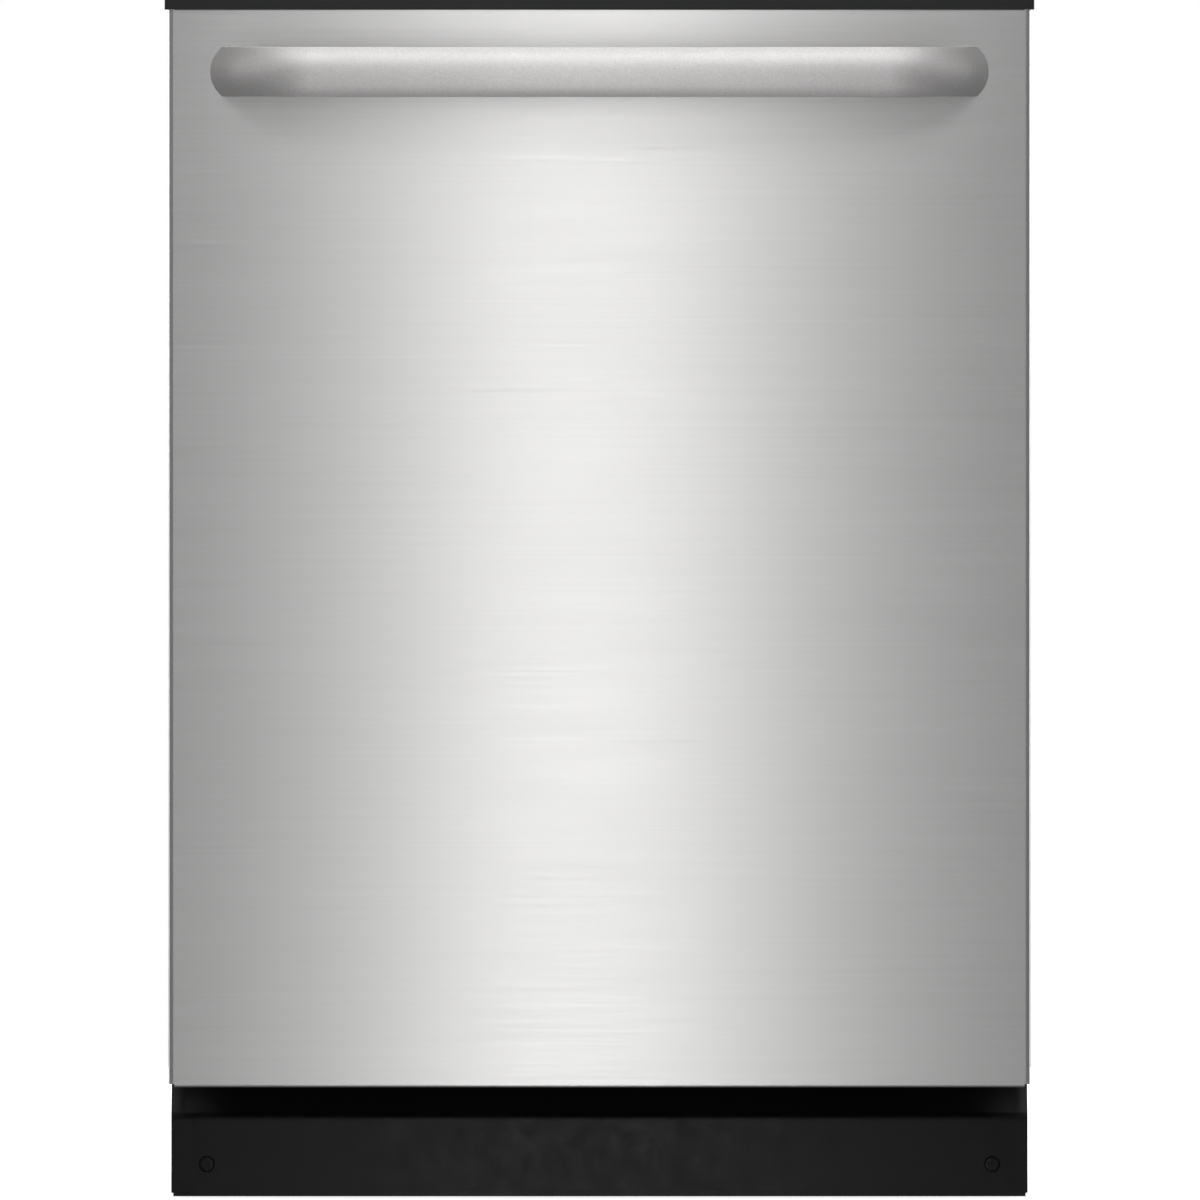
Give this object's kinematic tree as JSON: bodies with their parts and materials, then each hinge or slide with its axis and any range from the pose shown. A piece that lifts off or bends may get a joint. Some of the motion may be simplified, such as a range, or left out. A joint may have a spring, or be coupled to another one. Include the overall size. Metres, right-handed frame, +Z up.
{
  "type": "built-in dishwasher",
  "caption": "Built-in dishwasher with a drop-down steel door, bowed full-width handle, hidden top-edge keys, black toe panel, pull-out racks and spray arms in a moulded tub.",
  "frame": {"origin": "on the floor, under the centre of the overall box", "axes": "+Z up, -Y out of the door, +X to the right of someone facing the door"},
  "size_m": [0.61, 0.6349, 0.842],
  "materials": {
    "brushed_door": "horizontal brushed",
    "satin_handle": "fine satin",
    "console_black": "fine texture",
    "key_black": "satin",
    "smoked_window": "smoked",
    "black_housing": "moulded",
    "grey_tub": "moulded",
    "grey_liner": "moulded",
    "dispenser_grey": "satin",
    "cap_blue": "semi gloss",
    "dark_rubber": "matt",
    "grey_rubber": "matt",
    "zinc_steel": "galvanised",
    "bright_screw": "passivated",
    "black_enamel": "semi-gloss black",
    "fibre_blanket": "quilted fibre",
    "pump_black": "moulded",
    "filter_grey": "moulded",
    "heater_alloy": "heat tinted",
    "tube_grey": "moulded",
    "nylon_rack": "nylon coated",
    "basket_grey": "moulded",
    "wheel_grey": "moulded",
    "arm_grey": "moulded",
    "runner_steel": "satin",
    "spring_steel": "oiled"
  },
  "bodies": {
    "cabinet": {"tub": "grey_tub", "tub_gasket": "dark_rubber", "insulation_blanket": "fibre_blanket", "latch_strike": "zinc_steel", "mounting_brackets": "zinc_steel", "sump": "filter_grey", "wash_motor": "pump_black", "drain_pump": "pump_black", "feed_tube": "tube_grey", "top_spray_head": "arm_grey", "heating_element": "heater_alloy", "upper_tracks": "runner_steel", "side_frame_left": "zinc_steel", "side_frame_right": "zinc_steel", "cross_rails": "zinc_steel", "toe_panel": "black_enamel", "toe_screws": "black_enamel", "access_panel": "zinc_steel", "door_springs": "spring_steel", "junction_box": "zinc_steel", "inlet_valve": "pump_black"},
    "door": {"door_outer_panel": "brushed_door", "door_handle": "satin_handle", "control_console": "console_black", "status_window": "smoked_window", "door_latch": "black_housing", "door_inner_liner": "grey_liner", "liner_screws": "bright_screw", "dispenser_body": "dispenser_grey", "door_vent": "dispenser_grey", "door_bottom_seal": "grey_rubber", "hinge_arm_left": "zinc_steel", "hinge_arm_right": "zinc_steel"},
    "cycle_key_1": {"cycle_key_1": "key_black"},
    "cycle_key_2": {"cycle_key_2": "key_black"},
    "cycle_key_3": {"cycle_key_3": "key_black"},
    "option_key": {"option_key": "key_black"},
    "start_key": {"start_key": "key_black"},
    "levelling_leg_front_left": {"levelling_leg_front_left": "zinc_steel"},
    "levelling_leg_front_right": {"levelling_leg_front_right": "zinc_steel"},
    "levelling_leg_rear_left": {"levelling_leg_rear_left": "zinc_steel"},
    "levelling_leg_rear_right": {"levelling_leg_rear_right": "zinc_steel"},
    "rack_wheel_front_left": {"rack_wheel_front_left": "wheel_grey"},
    "rack_wheel_front_right": {"rack_wheel_front_right": "wheel_grey"},
    "rack_wheel_rear_left": {"rack_wheel_rear_left": "wheel_grey"},
    "rack_wheel_rear_right": {"rack_wheel_rear_right": "wheel_grey"},
    "dispenser_lid": {"dispenser_lid": "dispenser_grey"},
    "rinse_aid_cap": {"rinse_aid_cap": "cap_blue"},
    "filter_cup": {"filter_cup": "filter_grey"},
    "overflow_float": {"overflow_float": "arm_grey"},
    "upper_slides": {"upper_slides": "runner_steel"},
    "spring_links": {"spring_links": "zinc_steel"},
    "cup_shelf": {"cup_shelf": "basket_grey"},
    "lower_spray_arm": {"lower_spray_arm": "arm_grey"},
    "upper_spray_arm": {"upper_spray_arm": "arm_grey"},
    "lower_rack": {"lower_rack": "nylon_rack", "lower_rack_tines": "nylon_rack", "silverware_basket": "basket_grey"},
    "upper_rack": {"upper_rack": "nylon_rack", "upper_manifold": "tube_grey"}
  },
  "joints": [
    {"name": "door_hinge", "type": "hinge", "parent": "cabinet", "child": "door", "pos_m": [0, -0.232, 0.118], "axis": [1, 0, 0], "range_deg": [0, 90], "stiffness_Nm_per_rad": 17},
    {"name": "cycle_key_1_press", "type": "slide", "parent": "door", "child": "cycle_key_1", "axis": [0, 0, -1], "range_m": [0, 0.0008], "stiffness_N_per_m": 400},
    {"name": "cycle_key_2_press", "type": "slide", "parent": "door", "child": "cycle_key_2", "axis": [0, 0, -1], "range_m": [0, 0.0008], "stiffness_N_per_m": 400},
    {"name": "cycle_key_3_press", "type": "slide", "parent": "door", "child": "cycle_key_3", "axis": [0, 0, -1], "range_m": [0, 0.0008], "stiffness_N_per_m": 400},
    {"name": "option_key_press", "type": "slide", "parent": "door", "child": "option_key", "axis": [0, 0, -1], "range_m": [0, 0.0008], "stiffness_N_per_m": 400},
    {"name": "start_key_press", "type": "slide", "parent": "door", "child": "start_key", "axis": [0, 0, -1], "range_m": [0, 0.0008], "stiffness_N_per_m": 400},
    {"name": "dispenser_lid_slide", "type": "slide", "parent": "door", "child": "dispenser_lid", "axis": [0, 0, 1], "range_m": [0, 0.048]},
    {"name": "rinse_cap_turn", "type": "hinge", "parent": "door", "child": "rinse_aid_cap", "pos_m": [0.038, -0.232, 0.535], "axis": [0, 1, 0], "range_deg": [0, 90]},
    {"name": "filter_turn", "type": "hinge", "parent": "cabinet", "child": "filter_cup", "pos_m": [0.055, 0.046, 0.09], "axis": [0, 0, 1], "range_deg": [0, 90]},
    {"name": "float_rise", "type": "slide", "parent": "cabinet", "child": "overflow_float", "axis": [0, 0, 1], "range_m": [0, 0.012]},
    {"name": "lower_arm_spin", "type": "hinge", "parent": "cabinet", "child": "lower_spray_arm", "pos_m": [0, 0.046, 0.155], "axis": [0, 0, 1], "continuous": true},
    {"name": "lower_rack_slide", "type": "slide", "parent": "cabinet", "child": "lower_rack", "axis": [0, -1, 0], "range_m": [0, 0.1901]},
    {"name": "upper_runner_slide", "type": "slide", "parent": "cabinet", "child": "upper_slides", "axis": [0, -1, 0], "range_m": [0, 0.2251]},
    {"name": "upper_rack_slide", "type": "slide", "parent": "upper_slides", "child": "upper_rack", "axis": [0, -1, 0], "range_m": [0, 0.2251]},
    {"name": "upper_arm_spin", "type": "hinge", "parent": "upper_rack", "child": "upper_spray_arm", "pos_m": [0, 0.046, 0.446], "axis": [0, 0, 1], "continuous": true},
    {"name": "cup_shelf_fold", "type": "hinge", "parent": "upper_rack", "child": "cup_shelf", "pos_m": [-0.225, -0.041, 0.56], "axis": [0, -1, 0], "range_deg": [0, 88]},
    {"name": "spring_link_slide", "type": "slide", "parent": "cabinet", "child": "spring_links", "axis": [0, 1, 0], "range_m": [0, 0.03601], "deforming": ["door_springs"]},
    {"name": "rack_wheel_front_left_roll", "type": "hinge", "parent": "lower_rack", "child": "rack_wheel_front_left", "pos_m": [-0.26, -0.055, 0.148], "axis": [1, 0, 0], "range_deg": [0, 606]},
    {"name": "rack_wheel_front_right_roll", "type": "hinge", "parent": "lower_rack", "child": "rack_wheel_front_right", "pos_m": [0.26, -0.055, 0.148], "axis": [1, 0, 0], "range_deg": [0, 606]},
    {"name": "rack_wheel_rear_left_roll", "type": "hinge", "parent": "lower_rack", "child": "rack_wheel_rear_left", "pos_m": [-0.26, 0.2, 0.148], "axis": [1, 0, 0], "range_deg": [0, 606]},
    {"name": "rack_wheel_rear_right_roll", "type": "hinge", "parent": "lower_rack", "child": "rack_wheel_rear_right", "pos_m": [0.26, 0.2, 0.148], "axis": [1, 0, 0], "range_deg": [0, 606]},
    {"name": "leg_front_left_screw", "type": "slide", "parent": "cabinet", "child": "levelling_leg_front_left", "axis": [0, 0, -1], "range_m": [0, 0.035]},
    {"name": "leg_front_right_screw", "type": "slide", "parent": "cabinet", "child": "levelling_leg_front_right", "axis": [0, 0, -1], "range_m": [0, 0.035]},
    {"name": "leg_rear_left_screw", "type": "slide", "parent": "cabinet", "child": "levelling_leg_rear_left", "axis": [0, 0, -1], "range_m": [0, 0.035]},
    {"name": "leg_rear_right_screw", "type": "slide", "parent": "cabinet", "child": "levelling_leg_rear_right", "axis": [0, 0, -1], "range_m": [0, 0.035]}
  ],
  "couplings": [
    {"joint": "lower_rack_slide", "follows": "door_hinge", "m_per_rad": 0.12096},
    {"joint": "upper_runner_slide", "follows": "door_hinge", "m_per_rad": 0.14324},
    {"joint": "upper_rack_slide", "follows": "door_hinge", "m_per_rad": 0.14324},
    {"joint": "spring_link_slide", "follows": "door_hinge", "m_per_rad": 0.022918},
    {"joint": "rack_wheel_front_left_roll", "follows": "door_hinge", "ratio": 6.7199},
    {"joint": "rack_wheel_front_right_roll", "follows": "door_hinge", "ratio": 6.7199},
    {"joint": "rack_wheel_rear_left_roll", "follows": "door_hinge", "ratio": 6.7199},
    {"joint": "rack_wheel_rear_right_roll", "follows": "door_hinge", "ratio": 6.7199}
  ]
}
